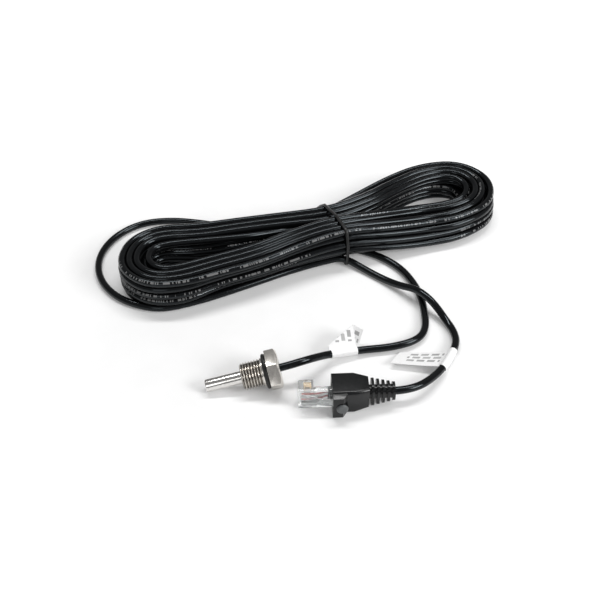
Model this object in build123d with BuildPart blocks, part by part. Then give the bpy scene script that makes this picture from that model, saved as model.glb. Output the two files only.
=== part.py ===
from build123d import *
import os
from math import atan2, cos, degrees, pi, radians, sin, tan

# Water temperature probe on a tied hank of cable, lying on a table (millimetres).
# The table is z = 0. The probe's axis lies over X, with its tip at -X.

# Probe sheath
SHEATH_OD = 6.0
SHEATH_WALL = 0.4
SHEATH_END_WALL = 0.7
SHEATH_PROUD = 17.0
SHEATH_SEAT = 8.5
SHEATH_EDGE = 0.3

# Threaded fitting, a G 1/4 male thread under a 17 mm hexagon
THREAD_MAJOR = 13.157
THREAD_LENGTH = 10.4
THREAD_CHAMFER = 1.0
NECK_DIAMETER = 12.5
HEX_ACROSS_FLATS = 17.0
HEX_LENGTH = 5.6
HEX_CHAMFER_RISE = 1.2
HEX_FACE_DIAMETER = 15.8
CUP_DIAMETER = 8.0
CUP_DEPTH = 7.5

# Sealing ring under the hexagon
RING_SECTION = 1.9
RING_CLEARANCE = 0.05

# Sensing element, its leads and the joints to the cable cores
BEAD_DIAMETER = 2.4
BEAD_LENGTH = 4.2
BEAD_STANDOFF = 0.9
LEAD_DIAMETER = 0.5
LEAD_OFFSET = 0.8
FILLER_LENGTH = 13.5
SPLICE_AT = 16.0
SLEEVE_LENGTH = 6.0
SLEEVE_WALL = 0.2
SLEEVE_CLEARANCE = 0.05
CORE_DIAMETER = 0.95
RESIN_REACH = 5.5

# Cable
CABLE_DIAMETER = 3.7
JACKET_SEAT = 4.0
STRAIGHT_EXIT = 4.0
ARC_SHARE = 0.45

# Hank of folded cable, with its tie
HANK_CENTRE = (60.5, 96.5)
HANK_ANGLE = 11.8
HANK_HEIGHT = 22.0
HANK_RIGHT_REACH = 67.0
HANK_RIGHT_RADIUS = 30.0
HANK_LEFT_REACH = 92.0
HANK_LEFT_RADIUS = 23.5
HANK_WAIST = 37.6
HANK_BAND = 18.6
HANK_CROWN = 7.0
RIGHT_EYE_START = 20.0
LEFT_EYE_START = 30.0
TIE_WIDTH = 1.4
TIE_THICKNESS = 1.2

# White flag labels
LABEL_WIDTH = 13.4
LABEL_WRAP = 0.45
LABEL_THICKNESS = 0.3
LABEL_START = 1.2
FLAG_LEAN = 40.0
FLAG_FOLD_ANGLE = 14.0
FLAG_STEP = 2.5
CREASE_LOW = (-2.1, 3.5)
CREASE_HIGH = (10.9, 11.5)
FOLDED_CORNERS = ((19.4, -6.4), (15.0, -11.2), (8.0, -9.6))
FLAG_SWEEP = (-0.95, 0.31, 0)
FLAG_DROP = -0.18
FLAG_WAVE = ((0, 2.0), (7.0, 1.1), (14.0, 0.5), (20.0, 0.2), (25.0, 0.15))

# Eight-way modular plug, lying on its side
PLUG_NOSE = (22.6, -15.0)
PLUG_YAW = -7.2
PLUG_LENGTH = 21.5
PLUG_WIDTH = 11.7
PLUG_THICKNESS = 6.6
RECESS_START = 6.9
RECESS_END = 16.4
RECESS_DEPTH = 4.2
RECESS_SLOPE = 0.8
CHANNEL_FRONT = 1.2
CHANNEL_REAR = 7.8
CHANNEL_HEIGHT = 1.15
CHANNEL_WIDTH = 8.4
CHANNEL_OFFSET = -2.0
CONTACT_COUNT = 8
CONTACT_PITCH = 1.02
CONTACT_THICKNESS = 0.35
CONTACT_START = 2.7
CONTACT_LENGTH = 3.3
CONTACT_RECESS = 0.5
CONTACT_CROWN = 2.6
TINE_GAP = 0.75
TINE_COUNT = 3
CONTACT_CLEARANCE = 0.03
CORE_SLOTS = (2, 4, 5, 7)
CORE_SPREAD = 0.6
CORE_END_GAP = 0.4
CORE_STRAIGHT = 0.8
CORE_FAN = 3.6
JACKET_FRONT = 13.4
BORE_CLEARANCE = 0.1
LATCH_ROOT = 1.0
LATCH_TAIL = 17.6
LATCH_RISE = 2.3
LATCH_THICKNESS = 0.9
LATCH_FOOT = 2.4
LATCH_WIDTH = 6.2
LATCH_TAIL_WIDTH = 3.4
LATCH_SHOULDER = 8.4

# Boot behind the plug
BOOT_FRONT = 15.2
BOOT_WIDTH = 13.3
BOOT_THICKNESS = 13.4
BOOT_STRAIGHT = 10.0
BOOT_BODY = 16.6
BOOT_REAR_WIDTH = 12.0
BOOT_REAR_THICKNESS = 9.6
BOOT_CORNER = 1.6
BOOT_CLEARANCE = 0.1
RIB_COUNT = 5
RIB_PITCH = 2.4
RIB_THICKNESS = 1.2
RIB_FIRST = (12.0, 9.4)
RIB_LAST = (8.4, 7.2)
RIB_CORNER = 3.0
BOOT_NECK_DIAMETER = 6.4
HUMP_LENGTH = 6.4
HUMP_RISE = 2.6
HUMP_SLOPE = 1.8
HUMP_WIDTH = 12.4
HOLLOW_DEPTH = 3.6
HOLLOW_WIDTH = 4.6
HOLLOW_WALL = 0.7
BUTTON_DIAMETER = 5.4
BUTTON_AT = 4.1
BUTTON_HEIGHT = 1.3
BUTTON_EDGE = 1.1

# Stations along the probe's axis, measured from its tip
THREAD_START = SHEATH_PROUD
NECK_START = THREAD_START + THREAD_LENGTH
HEX_FACE = NECK_START + RING_SECTION + 2 * RING_CLEARANCE
HEX_REAR = HEX_FACE + HEX_LENGTH
SHEATH_END = THREAD_START + SHEATH_SEAT
CUP_FLOOR = HEX_REAR - CUP_DEPTH
JACKET_END = HEX_REAR - JACKET_SEAT
BORE_RADIUS = SHEATH_OD / 2 - SHEATH_WALL

# The probe rests on the first full turn of its thread and on the front edge of a hexagon flat
THREAD_CREST = THREAD_START + THREAD_CHAMFER
TILT = atan2((HEX_ACROSS_FLATS - THREAD_MAJOR) / 2, HEX_FACE - THREAD_CREST)
AXIS_DIRECTION = Vector(cos(TILT), 0, sin(TILT))
TIP_X = -(HEX_REAR * cos(TILT) + (HEX_FACE_DIAMETER - SHEATH_OD) / 2 * sin(TILT)) / 2
TIP = Vector(TIP_X, 0, THREAD_MAJOR / 2 * cos(TILT) - THREAD_CREST * sin(TILT))
PROBE_AXIS = Axis(TIP, AXIS_DIRECTION)
PROBE_SIDE = Plane(origin=TIP, x_dir=AXIS_DIRECTION, z_dir=(0, -1, 0))

# The plug's middle plane: x along the plug from its nose, y towards the contacts, z up
PLUG_DIRECTION = Vector(cos(radians(PLUG_YAW)), sin(radians(PLUG_YAW)), 0)
PLUG_MIDDLE = Plane(origin=(*PLUG_NOSE, BOOT_WIDTH / 2), x_dir=PLUG_DIRECTION, z_dir=(0, 0, 1))
BOOT_LENGTH = BOOT_BODY + RIB_COUNT * RIB_PITCH
BOOT_END = BOOT_FRONT + BOOT_LENGTH

HANK_FLOOR = Plane(
    origin=(*HANK_CENTRE, 0),
    x_dir=(cos(radians(HANK_ANGLE)), sin(radians(HANK_ANGLE)), 0),
    z_dir=(0, 0, 1),
)


def probe_section(distance):
    """Plane across the probe's axis, a distance back from its tip."""
    return Plane(origin=TIP + AXIS_DIRECTION * distance, x_dir=(0, 1, 0), z_dir=AXIS_DIRECTION)


def plug_section(distance):
    """Plane across the plug, a distance back from its nose: x towards the contacts, y up."""
    origin = PLUG_MIDDLE.from_local_coords(Vector(distance, 0, 0))
    return Plane(origin=origin, x_dir=PLUG_MIDDLE.y_dir, z_dir=PLUG_DIRECTION)


def bend_radii(points):
    """Radius of the arc at each inner point of a route: as large as its two runs allow."""
    radii = []
    for before, here, after in zip(points, points[1:], points[2:]):
        turn = radians((here - before).get_angle(after - here))
        shorter = min((here - before).length, (after - here).length)
        radii.append(ARC_SHARE * shorter / tan(turn / 2))
    return radii


# Routes of the two stretches of cable and of the loose turn, chosen by hand
PROBE_ROUTE = [
    TIP + AXIS_DIRECTION * JACKET_END,
    TIP + AXIS_DIRECTION * (HEX_REAR + STRAIGHT_EXIT),
    Vector(28.4, 1.2, 10.6),
    Vector(35.0, 4.6, 8.2),
    Vector(42.0, 8.7, 4.7),
    Vector(58.8, 10.9, 2.4),
    Vector(69.5, 10.3, 2.3),
    Vector(77.5, 10.5, 2.7),
    Vector(84.3, 12.0, 2.7),
    Vector(89.8, 15.8, 2.2),
    Vector(93.4, 22.5, 1.9),
    Vector(95.2, 31.5, 1.9),
    Vector(96.6, 41.5, 1.9),
    Vector(95.3, 52.0, 1.9),
    Vector(91.0, 63.8, 1.9),
    Vector(83.0, 74.0, 1.9),
    Vector(72.5, 81.5, 1.9),
    Vector(61.5, 86.0, 1.9),
]
PLUG_ROUTE = [
    PLUG_MIDDLE.from_local_coords(Vector(BOOT_END - JACKET_SEAT, 0, 0)),
    PLUG_MIDDLE.from_local_coords(Vector(BOOT_END + STRAIGHT_EXIT, 0, 0)),
    Vector(78.2, -19.4, 6.2),
    Vector(85.2, -14.8, 4.8),
    Vector(92.6, -8.2, 3.0),
    Vector(104.0, 5.8, 2.4),
    Vector(105.8, 15.2, 1.9),
    Vector(103.8, 23.8, 2.4),
    Vector(100.6, 31.2, 5.6),
    Vector(97.6, 36.6, 7.2),
    Vector(93.8, 43.4, 7.0),
    Vector(88.4, 51.8, 3.6),
    Vector(82.0, 60.4, 1.9),
    Vector(74.8, 68.6, 1.9),
    Vector(66.0, 75.6, 1.9),
    Vector(56.3, 80.9, 1.9),
]
LOOP_ROUTE = [
    Vector(22.5, 104.8, 1.9),
    Vector(8.0, 115.5, 1.9),
    Vector(-9.0, 123.5, 1.9),
    Vector(-25.0, 128.6, 1.9),
    Vector(-41.0, 128.6, 1.9),
    Vector(-54.5, 120.8, 1.9),
    Vector(-63.3, 108.0, 1.9),
    Vector(-65.9, 93.0, 1.9),
    Vector(-62.2, 78.5, 1.9),
    Vector(-53.5, 66.5, 1.9),
    Vector(-41.0, 60.5, 1.9),
    Vector(-27.0, 60.5, 1.9),
    Vector(-14.0, 64.5, 1.9),
]

os.makedirs("parts", exist_ok=True)

# Probe sheath: closed-end drawn tube
with BuildPart() as probe_sheath:
    with BuildSketch(PROBE_SIDE):
        with BuildLine():
            Polyline(
                (0, 0),
                (0, SHEATH_OD / 2),
                (SHEATH_END, SHEATH_OD / 2),
                (SHEATH_END, BORE_RADIUS),
                (SHEATH_END_WALL, BORE_RADIUS),
                (SHEATH_END_WALL, 0),
                close=True,
            )
        make_face()
    revolve(axis=PROBE_AXIS)
    tip_edge = probe_sheath.edges().filter_by(GeomType.CIRCLE).sort_by(PROBE_AXIS)[0]
    fillet(tip_edge, SHEATH_EDGE)
probe_sheath.part.label = "probe_sheath"

# Threaded fitting: turned from hexagon bar and bored through
with BuildPart() as threaded_fitting:
    with BuildSketch(probe_section(HEX_FACE)):
        RegularPolygon(HEX_ACROSS_FLATS / 2, 6, major_radius=False)
    extrude(amount=HEX_LENGTH)
    with BuildSketch(PROBE_SIDE):
        with BuildLine():
            Polyline(
                (HEX_FACE, 0),
                (HEX_FACE, HEX_ACROSS_FLATS),
                (HEX_REAR - HEX_CHAMFER_RISE, HEX_ACROSS_FLATS / 3**0.5),
                (HEX_REAR, HEX_FACE_DIAMETER / 2),
                (HEX_REAR, 0),
                close=True,
            )
        make_face()
    revolve(axis=PROBE_AXIS, mode=Mode.INTERSECT)
    with BuildSketch(PROBE_SIDE):
        with BuildLine():
            Polyline(
                (THREAD_START, 0),
                (THREAD_START, THREAD_MAJOR / 2 - THREAD_CHAMFER),
                (THREAD_CREST, THREAD_MAJOR / 2),
                (NECK_START, THREAD_MAJOR / 2),
                (NECK_START, NECK_DIAMETER / 2),
                (HEX_FACE, NECK_DIAMETER / 2),
                (HEX_FACE, 0),
                close=True,
            )
        make_face()
    revolve(axis=PROBE_AXIS)
    with BuildSketch(PROBE_SIDE):
        with BuildLine():
            Polyline(
                (THREAD_START, 0),
                (THREAD_START, SHEATH_OD / 2),
                (SHEATH_END, SHEATH_OD / 2),
                (SHEATH_END, BORE_RADIUS),
                (CUP_FLOOR, BORE_RADIUS),
                (CUP_FLOOR, CUP_DIAMETER / 2),
                (HEX_REAR, CUP_DIAMETER / 2),
                (HEX_REAR, 0),
                close=True,
            )
        make_face()
    revolve(axis=PROBE_AXIS, mode=Mode.SUBTRACT)
threaded_fitting.part.label = "threaded_fitting"

# Sealing ring, seated round the neck
with BuildPart() as sealing_ring:
    with BuildSketch(PROBE_SIDE):
        ring_radius = NECK_DIAMETER / 2 + RING_CLEARANCE + RING_SECTION / 2
        with Locations((HEX_FACE - RING_CLEARANCE - RING_SECTION / 2, ring_radius)):
            Circle(RING_SECTION / 2)
    revolve(axis=PROBE_AXIS)
sealing_ring.part.label = "sealing_ring"

# Thermistor bead in the tip
BEAD_START = SHEATH_END_WALL + BEAD_STANDOFF
BEAD_REAR = BEAD_START + BEAD_LENGTH
with BuildPart() as thermistor_bead:
    with BuildSketch(probe_section(BEAD_START)):
        Circle(BEAD_DIAMETER / 2)
    extrude(amount=BEAD_LENGTH)
    fillet(thermistor_bead.edges().filter_by(GeomType.CIRCLE), BEAD_DIAMETER / 3)
thermistor_bead.part.label = "thermistor_bead"

# Two leads, the sleeves over their joints, and the cable cores behind them
inner_pairs = []
for number, side in ((1, LEAD_OFFSET), (2, -LEAD_OFFSET)):
    with BuildPart() as lead:
        with BuildSketch(probe_section(BEAD_REAR - BEAD_DIAMETER / 3)):
            with Locations((side, 0)):
                Circle(LEAD_DIAMETER / 2)
        extrude(amount=SPLICE_AT - BEAD_REAR + BEAD_DIAMETER / 3)
        add(thermistor_bead.part, mode=Mode.SUBTRACT)
    lead.part.label = f"thermistor_lead_{number}"

    with BuildPart() as sleeve:
        with BuildSketch(probe_section(SPLICE_AT - SLEEVE_LENGTH / 2)):
            with Locations((side, 0)):
                Circle(CORE_DIAMETER / 2 + SLEEVE_CLEARANCE + SLEEVE_WALL)
                Circle(CORE_DIAMETER / 2 + SLEEVE_CLEARANCE, mode=Mode.SUBTRACT)
        extrude(amount=SLEEVE_LENGTH)
    sleeve.part.label = f"splice_sleeve_{number}"

    with BuildPart() as core:
        with BuildSketch(probe_section(SPLICE_AT)):
            with Locations((side, 0)):
                Circle(CORE_DIAMETER / 2)
        extrude(amount=JACKET_END - SPLICE_AT)
    core.part.label = f"probe_core_{number}"
    inner_pairs += [lead.part, sleeve.part, core.part]

# Heat-conducting fill round the bead
with BuildPart() as tip_filler:
    with BuildSketch(probe_section(SHEATH_END_WALL)):
        Circle(BORE_RADIUS)
    extrude(amount=FILLER_LENGTH)
    add(thermistor_bead.part, mode=Mode.SUBTRACT)
    for piece in inner_pairs:
        add(piece, mode=Mode.SUBTRACT)
tip_filler.part.label = "tip_filler"

# Hank: outer shape of the folded cable, with an eye in each end, pinched at the tie
waist = HANK_WAIST / 2
right_eye = HANK_RIGHT_RADIUS - HANK_BAND
left_eye = HANK_LEFT_RADIUS - HANK_BAND
with BuildPart() as hank_shape:
    with BuildSketch(HANK_FLOOR):
        with BuildLine():
            Spline((0, -waist), (HANK_RIGHT_REACH, -HANK_RIGHT_RADIUS), tangents=((1, 0), (1, 0)))
            ThreePointArc(
                (HANK_RIGHT_REACH, -HANK_RIGHT_RADIUS),
                (HANK_RIGHT_REACH + HANK_RIGHT_RADIUS, 0),
                (HANK_RIGHT_REACH, HANK_RIGHT_RADIUS),
            )
            Spline((HANK_RIGHT_REACH, HANK_RIGHT_RADIUS), (0, waist), tangents=((-1, 0), (-1, 0)))
            Spline((0, waist), (-HANK_LEFT_REACH, HANK_LEFT_RADIUS), tangents=((-1, 0), (-1, 0)))
            ThreePointArc(
                (-HANK_LEFT_REACH, HANK_LEFT_RADIUS),
                (-HANK_LEFT_REACH - HANK_LEFT_RADIUS, 0),
                (-HANK_LEFT_REACH, -HANK_LEFT_RADIUS),
            )
            Spline((-HANK_LEFT_REACH, -HANK_LEFT_RADIUS), (0, -waist), tangents=((1, 0), (1, 0)))
        make_face()
    extrude(amount=HANK_HEIGHT)
    fillet(hank_shape.faces().sort_by(Axis.Z)[-1].edges(), HANK_CROWN)
    for start, reach, radius in (
        (RIGHT_EYE_START, HANK_RIGHT_REACH, right_eye),
        (-LEFT_EYE_START, -HANK_LEFT_REACH, left_eye),
    ):
        outward = 1 if reach > 0 else -1
        with BuildSketch(HANK_FLOOR):
            with BuildLine():
                Line((start, 0), (reach, -radius))
                ThreePointArc((reach, -radius), (reach + outward * radius, 0), (reach, radius))
                Line((reach, radius), (start, 0))
            make_face()
        extrude(amount=HANK_HEIGHT, mode=Mode.SUBTRACT)

# Tie: a thin band sunk into the waist of the hank
with BuildPart() as hank_tie:
    add(hank_shape.part)
    with BuildSketch(HANK_FLOOR):
        Rectangle(TIE_WIDTH, 2 * HANK_WAIST)
    extrude(amount=HANK_HEIGHT, mode=Mode.INTERSECT)
    tie_plane = Plane(origin=HANK_FLOOR.origin, x_dir=HANK_FLOOR.y_dir, z_dir=HANK_FLOOR.x_dir)
    with BuildSketch(tie_plane):
        with Locations((0, HANK_HEIGHT / 2)):
            RectangleRounded(
                HANK_WAIST - 2 * TIE_THICKNESS,
                HANK_HEIGHT - 2 * TIE_THICKNESS,
                HANK_CROWN - TIE_THICKNESS,
            )
    extrude(amount=TIE_WIDTH, both=True, mode=Mode.SUBTRACT)
hank_tie.part.label = "hank_tie"

with BuildPart() as cable_hank:
    add(hank_shape.part)
    add(hank_tie.part, mode=Mode.SUBTRACT)
cable_hank.part.label = "cable_hank"

# Stretches of cable outside the hank, each ending on its wall
cables = {}
for name, route, jacket in (
    ("cable_probe_lead", PROBE_ROUTE, 0),
    ("cable_plug_lead", PLUG_ROUTE, BOOT_END - JACKET_SEAT - JACKET_FRONT),
    ("cable_loose_loop", LOOP_ROUTE, 0),
):
    radii = bend_radii(route)
    with BuildPart() as tube:
        with BuildLine() as path:
            FilletPolyline(route, radius=radii)
        with BuildSketch(Plane(origin=route[0], z_dir=route[1] - route[0])):
            Circle(CABLE_DIAMETER / 2)
        sweep()
        length = path.wires()[0].length
        filled = tube.part.volume / (pi * CABLE_DIAMETER**2 / 4 * length)
        print(name, round(length, 1), "mm long, volume over section by length", round(filled, 4))
        print(name, "bend radii", [round(radius, 1) for radius in radii])
        if jacket:
            with BuildSketch(Plane(origin=route[0], z_dir=route[0] - route[1])):
                Circle(CABLE_DIAMETER / 2)
            extrude(amount=jacket)
        add(hank_shape.part, mode=Mode.SUBTRACT)
    tube.part.label = name
    cables[name] = tube.part

# Cast resin where the cable enters the fitting
with BuildPart() as cable_seal:
    with BuildSketch(PROBE_SIDE):
        with BuildLine():
            Polyline(
                (CUP_FLOOR - RESIN_REACH, 0),
                (CUP_FLOOR - RESIN_REACH, BORE_RADIUS),
                (CUP_FLOOR, BORE_RADIUS),
                (CUP_FLOOR, CUP_DIAMETER / 2),
                (HEX_REAR, CUP_DIAMETER / 2),
                (HEX_REAR, 0),
                close=True,
            )
        make_face()
    revolve(axis=PROBE_AXIS)
    add(cables["cable_probe_lead"], mode=Mode.SUBTRACT)
    for piece in inner_pairs:
        add(piece, mode=Mode.SUBTRACT)
cable_seal.part.label = "cable_seal"

# Label near the probe: its flag stands up behind the cable and is creased over
label_run = (PROBE_ROUTE[5] - PROBE_ROUTE[4]).normalized()
wrap_start = PROBE_ROUTE[4] + label_run * LABEL_START
lean = radians(FLAG_LEAN)
flag_normal = label_run.cross(Vector(0, sin(lean), cos(lean)))
flag_plane = Plane(origin=wrap_start, x_dir=label_run, z_dir=flag_normal)
crease_low = flag_plane.from_local_coords(Vector(*CREASE_LOW, 0))
crease_line = flag_plane.from_local_coords(Vector(*CREASE_HIGH, 0)) - crease_low
crease_length = crease_line.length
fold_normal = flag_normal.rotate(Axis((0, 0, 0), crease_line), FLAG_FOLD_ANGLE)
with BuildPart() as label_probe_end:
    with BuildSketch(Plane(origin=wrap_start, z_dir=label_run)):
        Circle(CABLE_DIAMETER / 2 + LABEL_WRAP)
    extrude(amount=LABEL_WIDTH)
    with BuildSketch(flag_plane):
        with BuildLine():
            Polyline(
                (0, 0),
                CREASE_LOW,
                CREASE_HIGH,
                (LABEL_WIDTH, FLAG_STEP),
                (LABEL_WIDTH, 0),
                close=True,
            )
        make_face()
    extrude(amount=LABEL_THICKNESS)
    with BuildSketch(Plane(origin=crease_low, x_dir=crease_line, z_dir=fold_normal)):
        with BuildLine():
            Polyline((0, 0), (crease_length, 0), *FOLDED_CORNERS, close=True)
        make_face()
    extrude(amount=LABEL_THICKNESS)
    add(cables["cable_probe_lead"], mode=Mode.SUBTRACT)
label_probe_end.part.label = "label_probe_end"

# Label near the plug: its flag lies back over the table in a slow wave
label_run = (PLUG_ROUTE[5] - PLUG_ROUTE[4]).normalized()
wrap_start = PLUG_ROUTE[4] + label_run * LABEL_START
sweep_direction = Vector(*FLAG_SWEEP)
wave_plane = Plane(origin=wrap_start, x_dir=sweep_direction, z_dir=sweep_direction.cross(Vector(0, 0, 1)))
with BuildPart() as label_plug_end:
    with BuildSketch(Plane(origin=wrap_start, z_dir=label_run)):
        Circle(CABLE_DIAMETER / 2 + LABEL_WRAP)
    extrude(amount=LABEL_WIDTH)
    with BuildSketch(wave_plane):
        with BuildLine():
            upper = Spline(*FLAG_WAVE)
            lower = Spline(*[(x, y - LABEL_THICKNESS) for x, y in FLAG_WAVE])
            Line(upper @ 0, lower @ 0)
            Line(upper @ 1, lower @ 1)
        make_face()
    extrude(amount=LABEL_WIDTH, dir=label_run + Vector(0, 0, FLAG_DROP))
    add(cables["cable_plug_lead"], mode=Mode.SUBTRACT)
label_plug_end.part.label = "label_plug_end"

# Plug body: clear moulding with its latch, contact slots, core channel and cable bore
half = PLUG_THICKNESS / 2
channel_low = CHANNEL_OFFSET - CHANNEL_HEIGHT / 2
channel_high = CHANNEL_OFFSET + CHANNEL_HEIGHT / 2
recess_floor = half - RECESS_DEPTH
with BuildPart() as plug_body:
    with BuildSketch(PLUG_MIDDLE):
        with BuildLine():
            Polyline(
                (0, -half),
                (0, half),
                (RECESS_START, half),
                (RECESS_START, recess_floor),
                (RECESS_END - RECESS_SLOPE, recess_floor),
                (RECESS_END, half),
                (PLUG_LENGTH, half),
                (PLUG_LENGTH, -half),
                close=True,
            )
        make_face()
    extrude(amount=PLUG_WIDTH / 2, both=True)
    with BuildSketch(PLUG_MIDDLE):
        with BuildLine():
            Polyline(
                (CHANNEL_FRONT, channel_low),
                (CHANNEL_FRONT, channel_high),
                (CHANNEL_REAR, channel_high),
                (CHANNEL_REAR, half),
                (JACKET_FRONT, half),
                (JACKET_FRONT, channel_low),
                close=True,
            )
        make_face()
    extrude(amount=CHANNEL_WIDTH / 2, both=True, mode=Mode.SUBTRACT)
    with BuildSketch(plug_section(JACKET_FRONT)):
        Circle(CABLE_DIAMETER / 2 + BORE_CLEARANCE)
    extrude(amount=PLUG_LENGTH - JACKET_FRONT, mode=Mode.SUBTRACT)
    for index in range(CONTACT_COUNT):
        height = ((CONTACT_COUNT - 1) / 2 - index) * CONTACT_PITCH
        with BuildSketch(PLUG_MIDDLE.offset(height)):
            with BuildLine():
                Polyline(
                    (CONTACT_START - CONTACT_CLEARANCE, half),
                    (CONTACT_START + CONTACT_LENGTH + CONTACT_CLEARANCE, half),
                    (CONTACT_START + CONTACT_LENGTH + CONTACT_CLEARANCE, channel_high),
                    (CONTACT_START - CONTACT_CLEARANCE, channel_high),
                    close=True,
                )
            make_face()
        extrude(amount=CONTACT_THICKNESS / 2 + CONTACT_CLEARANCE, both=True, mode=Mode.SUBTRACT)
    with BuildSketch(PLUG_MIDDLE):
        with BuildLine():
            Polyline(
                (LATCH_ROOT, -half),
                (LATCH_ROOT + LATCH_FOOT, -half),
                (LATCH_TAIL, -half - LATCH_RISE),
                (LATCH_TAIL, -half - LATCH_RISE - LATCH_THICKNESS),
                (LATCH_ROOT, -half - LATCH_THICKNESS / 2),
                close=True,
            )
        make_face()
    extrude(amount=LATCH_WIDTH / 2, both=True)
    for side in (1, -1):
        with BuildSketch(PLUG_MIDDLE.offset(side * LATCH_TAIL_WIDTH / 2)):
            with BuildLine():
                Polyline(
                    (LATCH_SHOULDER, -half),
                    (LATCH_TAIL, -half),
                    (LATCH_TAIL, -PLUG_THICKNESS - LATCH_RISE),
                    (LATCH_SHOULDER, -PLUG_THICKNESS - LATCH_RISE),
                    close=True,
                )
            make_face()
        extrude(amount=side * LATCH_WIDTH, mode=Mode.SUBTRACT)
plug_body.part.label = "plug_body"

# Gold contacts: a blade with three tines over the core channel
contacts = []
for index in range(CONTACT_COUNT):
    height = ((CONTACT_COUNT - 1) / 2 - index) * CONTACT_PITCH
    with BuildPart() as contact:
        with BuildSketch(PLUG_MIDDLE.offset(height)):
            with BuildLine():
                Polyline(
                    (CONTACT_START, half - CONTACT_RECESS),
                    (CONTACT_START + CONTACT_LENGTH, half - CONTACT_RECESS),
                    (CONTACT_START + CONTACT_LENGTH, channel_high),
                    (CONTACT_START, channel_high),
                    close=True,
                )
            make_face()
            for gap in range(1, TINE_COUNT):
                tine_root = half - CONTACT_RECESS - CONTACT_CROWN
                middle = (tine_root + channel_high) / 2
                with Locations((CONTACT_START + CONTACT_LENGTH * gap / TINE_COUNT, middle)):
                    Rectangle(TINE_GAP, tine_root - channel_high, mode=Mode.SUBTRACT)
        extrude(amount=CONTACT_THICKNESS / 2, both=True)
    contact.part.label = f"plug_contact_{index + 1}"
    contacts.append(contact.part)

# Four cores, fanned from the end of the jacket into their places in the channel
plug_cores = []
bundle = ((1, 1), (-1, 1), (-1, -1), (1, -1))
for number, (slot, (along_y, along_z)) in enumerate(zip(CORE_SLOTS, bundle), start=1):
    height = ((CONTACT_COUNT + 1) / 2 - slot) * CONTACT_PITCH
    core_route = [
        PLUG_MIDDLE.from_local_coords(Vector(JACKET_FRONT, along_y * CORE_SPREAD, along_z * CORE_SPREAD)),
        PLUG_MIDDLE.from_local_coords(
            Vector(JACKET_FRONT - CORE_STRAIGHT, along_y * CORE_SPREAD, along_z * CORE_SPREAD)
        ),
        PLUG_MIDDLE.from_local_coords(
            Vector(JACKET_FRONT - CORE_STRAIGHT - CORE_FAN, CHANNEL_OFFSET, height)
        ),
        PLUG_MIDDLE.from_local_coords(Vector(CHANNEL_FRONT + CORE_END_GAP, CHANNEL_OFFSET, height)),
    ]
    with BuildPart() as plug_core:
        with BuildLine():
            FilletPolyline(core_route, radius=bend_radii(core_route))
        with BuildSketch(Plane(origin=core_route[0], z_dir=core_route[1] - core_route[0])):
            Circle(CORE_DIAMETER / 2)
        sweep()
    plug_core.part.label = f"plug_core_{number}"
    plug_cores.append(plug_core.part)

# Boot: pocket for the plug, hooded latch button, tapered rear and rib discs
boot_face = -BOOT_THICKNESS / 2
hollow_foot = HUMP_RISE - HOLLOW_WALL - boot_face
with BuildPart() as plug_boot:
    with BuildSketch(plug_section(BOOT_FRONT)):
        RectangleRounded(BOOT_THICKNESS, BOOT_WIDTH, BOOT_CORNER)
    extrude(amount=BOOT_STRAIGHT)
    with BuildSketch(plug_section(BOOT_FRONT + BOOT_STRAIGHT)):
        RectangleRounded(BOOT_THICKNESS, BOOT_WIDTH, BOOT_CORNER)
    with BuildSketch(plug_section(BOOT_FRONT + BOOT_BODY)):
        RectangleRounded(BOOT_REAR_THICKNESS, BOOT_REAR_WIDTH, BOOT_CORNER)
    loft()
    with BuildSketch(plug_section(BOOT_FRONT + BOOT_BODY)):
        Circle(BOOT_NECK_DIAMETER / 2)
    extrude(amount=BOOT_LENGTH - BOOT_BODY)
    for index in range(RIB_COUNT):
        share = index / (RIB_COUNT - 1)
        width = RIB_FIRST[0] + share * (RIB_LAST[0] - RIB_FIRST[0])
        thickness = RIB_FIRST[1] + share * (RIB_LAST[1] - RIB_FIRST[1])
        with BuildSketch(plug_section(BOOT_FRONT + BOOT_BODY + (index + 1) * RIB_PITCH - RIB_THICKNESS)):
            RectangleRounded(thickness, width, RIB_CORNER)
        extrude(amount=RIB_THICKNESS)
    with BuildSketch(PLUG_MIDDLE):
        with BuildLine():
            Polyline(
                (BOOT_FRONT, 0),
                (BOOT_FRONT, boot_face - HUMP_RISE),
                (BOOT_FRONT + HUMP_LENGTH - HUMP_SLOPE, boot_face - HUMP_RISE),
                (BOOT_FRONT + HUMP_LENGTH, boot_face),
                (BOOT_FRONT + HUMP_LENGTH, 0),
                close=True,
            )
        make_face()
    extrude(amount=HUMP_WIDTH / 2, both=True)
    button_plane = Plane(
        origin=PLUG_MIDDLE.from_local_coords(Vector(BOOT_FRONT + BUTTON_AT, boot_face, 0)),
        x_dir=PLUG_DIRECTION,
        z_dir=-PLUG_MIDDLE.y_dir,
    )
    with BuildSketch(button_plane):
        Circle(BUTTON_DIAMETER / 2)
    extrude(amount=HUMP_RISE + BUTTON_HEIGHT)
    fillet(plug_boot.faces().sort_by(Axis(button_plane.origin, button_plane.z_dir))[-1].edges(), BUTTON_EDGE)
    with BuildSketch(plug_section(BOOT_FRONT)):
        Rectangle(PLUG_THICKNESS + 2 * BOOT_CLEARANCE, PLUG_WIDTH + 2 * BOOT_CLEARANCE)
    extrude(amount=PLUG_LENGTH + BOOT_CLEARANCE - BOOT_FRONT, mode=Mode.SUBTRACT)
    with BuildSketch(plug_section(BOOT_FRONT)):
        with Locations((-(half + hollow_foot) / 2, 0)):
            Rectangle(hollow_foot - half, HOLLOW_WIDTH)
    extrude(amount=HOLLOW_DEPTH, mode=Mode.SUBTRACT)
    with BuildSketch(plug_section(BOOT_FRONT)):
        Circle(CABLE_DIAMETER / 2)
    extrude(amount=BOOT_LENGTH, mode=Mode.SUBTRACT)
plug_boot.part.label = "plug_boot"

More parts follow.
